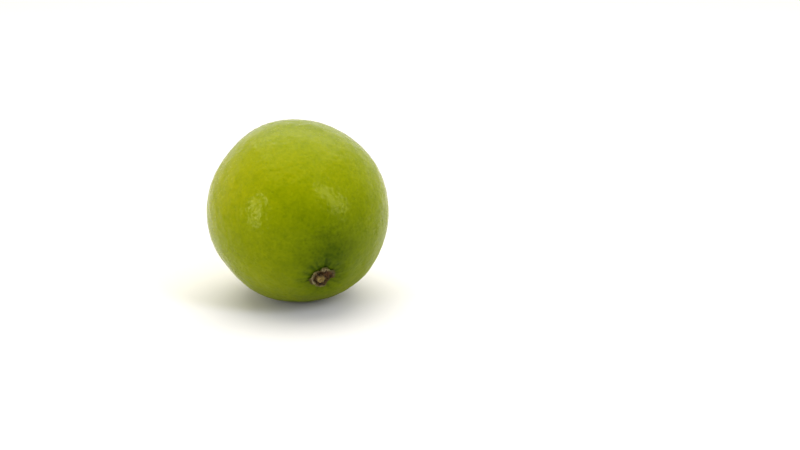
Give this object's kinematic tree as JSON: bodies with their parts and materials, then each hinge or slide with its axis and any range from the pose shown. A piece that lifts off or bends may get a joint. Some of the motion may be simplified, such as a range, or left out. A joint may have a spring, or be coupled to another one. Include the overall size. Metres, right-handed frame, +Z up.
{
  "type": "whole lime",
  "caption": "Round whole lime lying on its side, with a short blunt nipple at one end and the dried calyx at the other; food to set out, stack or slice.",
  "frame": {"origin": "on the surface that the fruit rests on, under the middle of its bounding box", "axes": "+Z up; -Y to the stem end, which dips 26.7 degrees below the horizontal; +Y to the nipple, which points up and back; +X to the right, seen from the stem end"},
  "size_m": [0.06, 0.062, 0.0597],
  "materials": {
    "rind": "waxy satin green rind with fine oil-gland pits",
    "dried_calyx": "dull, dry and brown"
  },
  "bodies": {
    "root": {"fruit": "rind", "calyx": "dried_calyx"}
  },
  "joints": []
}
